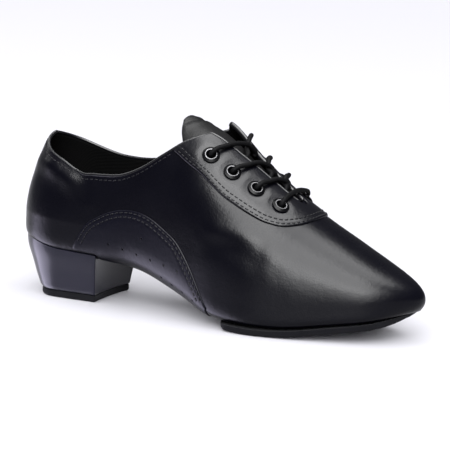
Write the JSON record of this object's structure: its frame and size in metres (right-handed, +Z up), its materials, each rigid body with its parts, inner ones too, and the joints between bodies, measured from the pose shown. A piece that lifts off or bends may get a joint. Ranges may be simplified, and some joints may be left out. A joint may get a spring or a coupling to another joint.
{
  "type": "dance shoe",
  "caption": "Right-foot latin dance shoe: smooth leather oxford upper with laced throat, split sole with forefoot outsole, bare arch and low block heel with a tap.",
  "frame": {"origin": "floor point under the middle of the shoe's bounding box", "axes": "+X toward the toe, +Y toward the inner side of the foot, +Z up"},
  "size_m": [0.245, 0.085, 0.111],
  "materials": {
    "upper_leather": "smooth black leather, soft sheen",
    "tongue_leather": "smooth black leather over lining",
    "insole_lining": "matt black lining leather",
    "sole_suede": "brushed black suede",
    "heel_gloss": "lacquered black",
    "eyelet_metal": "black enamelled rings",
    "lace_cord": "braided black cord"
  },
  "bodies": {
    "root": {"upper": "upper_leather", "insole": "insole_lining", "outsole": "sole_suede", "heel": "heel_gloss", "heel_tap": "sole_suede", "tongue": "tongue_leather", "eyestay": "upper_leather", "arch_panel_lateral": "upper_leather", "arch_panel_medial": "upper_leather", "eyelet_lateral_1": "eyelet_metal", "eyelet_lateral_2": "eyelet_metal", "eyelet_lateral_3": "eyelet_metal", "eyelet_lateral_4": "eyelet_metal", "eyelet_medial_1": "eyelet_metal", "eyelet_medial_2": "eyelet_metal", "eyelet_medial_3": "eyelet_metal", "eyelet_medial_4": "eyelet_metal", "lace_bar_1": "lace_cord", "lace_cross_2": "lace_cord", "lace_cross_3": "lace_cord", "lace_cross_4": "lace_cord"}
  },
  "joints": []
}
